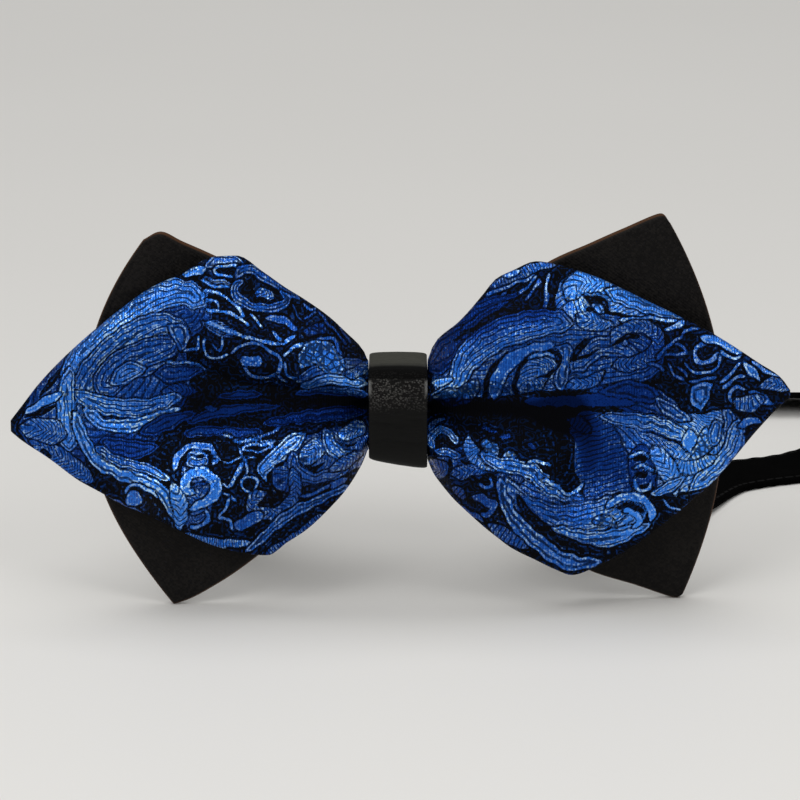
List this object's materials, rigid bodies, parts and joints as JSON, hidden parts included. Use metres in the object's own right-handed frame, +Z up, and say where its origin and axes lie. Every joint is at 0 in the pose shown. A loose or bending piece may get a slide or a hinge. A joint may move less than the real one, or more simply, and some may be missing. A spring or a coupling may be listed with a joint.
{
  "type": "diamond point bow tie",
  "caption": "Pre-tied bow tie: patterned diamond-pointed front wings over plain black two-cornered wings, a grained centre band and a neck ribbon in a closed loop.",
  "frame": {"origin": "centre of the flat back face of the centre band, where the tie meets the collar", "axes": "+X to the right seen from the front, +Y out of the band's back face towards the neck, +Z up"},
  "size_m": [0.1706, 0.1317, 0.0634],
  "materials": {
    "brocade": "blue metallic thread jacquard on a black ground, paisley and scroll figures",
    "satin": "black satin weave, soft sheen",
    "grained_band": "black faux leather with a fine pebble grain and cross wrinkles",
    "moulded_clasp": "plain black moulded plastic"
  },
  "bodies": {
    "root": {"front_bow": "brocade", "back_bow": "satin", "centre_band": "grained_band", "neck_strap": "satin", "strap_clasp": "moulded_clasp"}
  },
  "joints": []
}
